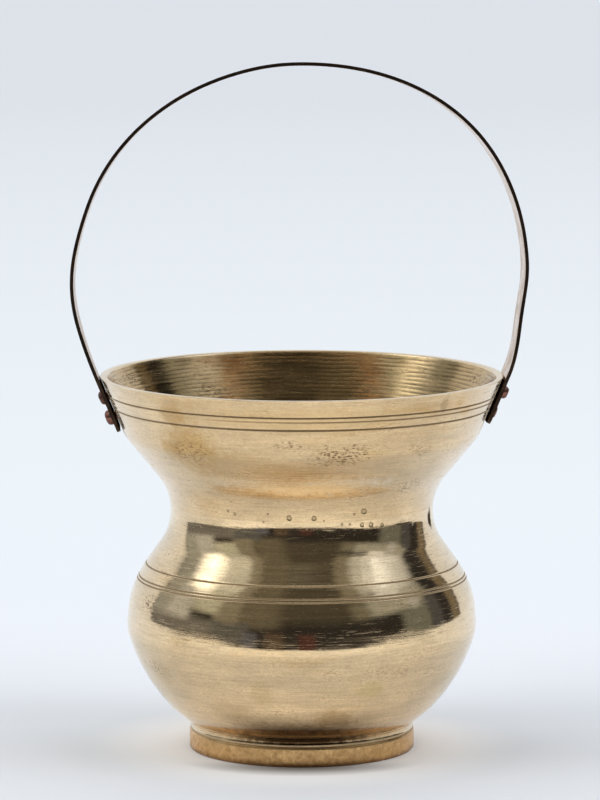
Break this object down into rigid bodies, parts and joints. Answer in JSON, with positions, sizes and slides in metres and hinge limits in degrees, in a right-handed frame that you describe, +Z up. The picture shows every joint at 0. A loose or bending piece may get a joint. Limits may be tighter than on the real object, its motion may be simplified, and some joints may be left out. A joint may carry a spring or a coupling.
{
  "type": "kamandal water pot",
  "caption": "Small turned metal water pot with a flared mouth, pinched waist, round belly, low foot ring and a fixed riveted strip handle arching over the mouth.",
  "frame": {"origin": "middle of the foot ring's flat underside, on the pot's turning axis", "axes": "+Z up along the turning axis; the handle's arch spans X and leans a little towards +Y; the pictured front looks towards -Y"},
  "size_m": [0.1302, 0.1148, 0.1968],
  "materials": {
    "polished_brass": "lathe-turned and hand-buffed brass with fine turning lines, small casting pits and faint stains",
    "dull_brass": "matte mottled brass as cast and lightly turned",
    "strip_brass": "rolled strip with satin faces and dark sheared edges",
    "copper_rivet": "hammered copper-red rivet heads, darkened"
  },
  "bodies": {
    "root": {"mouth": "polished_brass", "belly": "polished_brass", "foot_ring": "dull_brass", "handle_strip": "strip_brass", "rivet_left_upper": "copper_rivet", "rivet_left_lower": "copper_rivet", "rivet_right_upper": "copper_rivet", "rivet_right_lower": "copper_rivet"}
  },
  "joints": []
}
